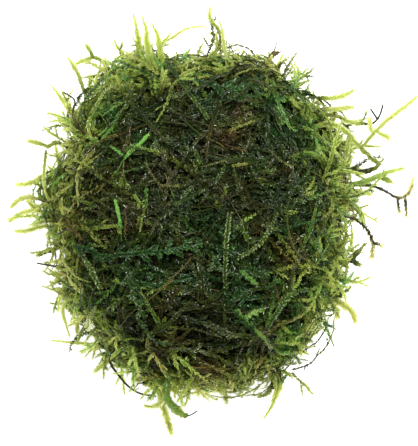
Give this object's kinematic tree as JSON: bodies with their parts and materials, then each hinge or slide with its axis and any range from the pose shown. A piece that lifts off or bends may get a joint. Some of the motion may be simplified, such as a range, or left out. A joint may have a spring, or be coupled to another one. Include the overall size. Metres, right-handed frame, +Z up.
{
  "type": "java moss",
  "caption": "Round loose wad of java moss: a tangled clump with leafy shoots and bare stems standing clear of it, resting on a flat foot.",
  "frame": {"origin": "on the surface that the moss lies on, under the middle of its bounding box", "axes": "+Z up; +Y towards the picture's top, which is the wad's longest way; +X towards its right"},
  "size_m": [0.1012, 0.1068, 0.0413],
  "materials": {
    "moss_tangle": "wet, dark green",
    "pale_shoot": "wet, yellow-green",
    "green_shoot": "wet, mid green",
    "bare_stem": "wet, dark brown"
  },
  "bodies": {
    "root": {"lying_shoot_1": "pale_shoot", "lying_shoot_2": "pale_shoot", "lying_shoot_3": "pale_shoot", "lying_shoot_4": "green_shoot", "lying_shoot_5": "green_shoot", "lying_shoot_6": "green_shoot", "lying_shoot_7": "pale_shoot", "lying_shoot_8": "pale_shoot", "lying_stem_1": "bare_stem", "moss_clump": "moss_tangle", "shoot_bottom_1": "pale_shoot", "shoot_bottom_2": "green_shoot", "shoot_bottom_3": "pale_shoot", "shoot_bottom_4": "pale_shoot", "shoot_bottom_5": "green_shoot", "shoot_bottom_6": "pale_shoot", "shoot_bottom_7": "green_shoot", "shoot_bottom_8": "pale_shoot", "shoot_left_1": "green_shoot", "shoot_left_10": "green_shoot", "shoot_left_11": "green_shoot", "shoot_left_12": "pale_shoot", "shoot_left_13": "pale_shoot", "shoot_left_14": "pale_shoot", "shoot_left_2": "green_shoot", "shoot_left_3": "pale_shoot", "shoot_left_4": "green_shoot", "shoot_left_5": "green_shoot", "shoot_left_6": "pale_shoot", "shoot_left_7": "green_shoot", "shoot_left_8": "pale_shoot", "shoot_left_9": "pale_shoot", "shoot_right_1": "green_shoot", "shoot_right_10": "green_shoot", "shoot_right_11": "pale_shoot", "shoot_right_2": "green_shoot", "shoot_right_3": "pale_shoot", "shoot_right_4": "pale_shoot", "shoot_right_5": "pale_shoot", "shoot_right_6": "pale_shoot", "shoot_right_7": "pale_shoot", "shoot_right_8": "pale_shoot", "shoot_right_9": "green_shoot", "shoot_top_1": "green_shoot", "shoot_top_2": "pale_shoot", "shoot_top_3": "pale_shoot", "shoot_top_4": "pale_shoot", "shoot_top_5": "pale_shoot", "shoot_top_6": "pale_shoot", "stem_bottom_1": "bare_stem", "stem_left_1": "bare_stem", "stem_left_2": "bare_stem", "stem_left_3": "bare_stem", "stem_right_1": "bare_stem", "stem_right_2": "bare_stem", "stem_right_3": "bare_stem", "stem_right_4": "bare_stem", "stem_top_1": "bare_stem"}
  },
  "joints": []
}
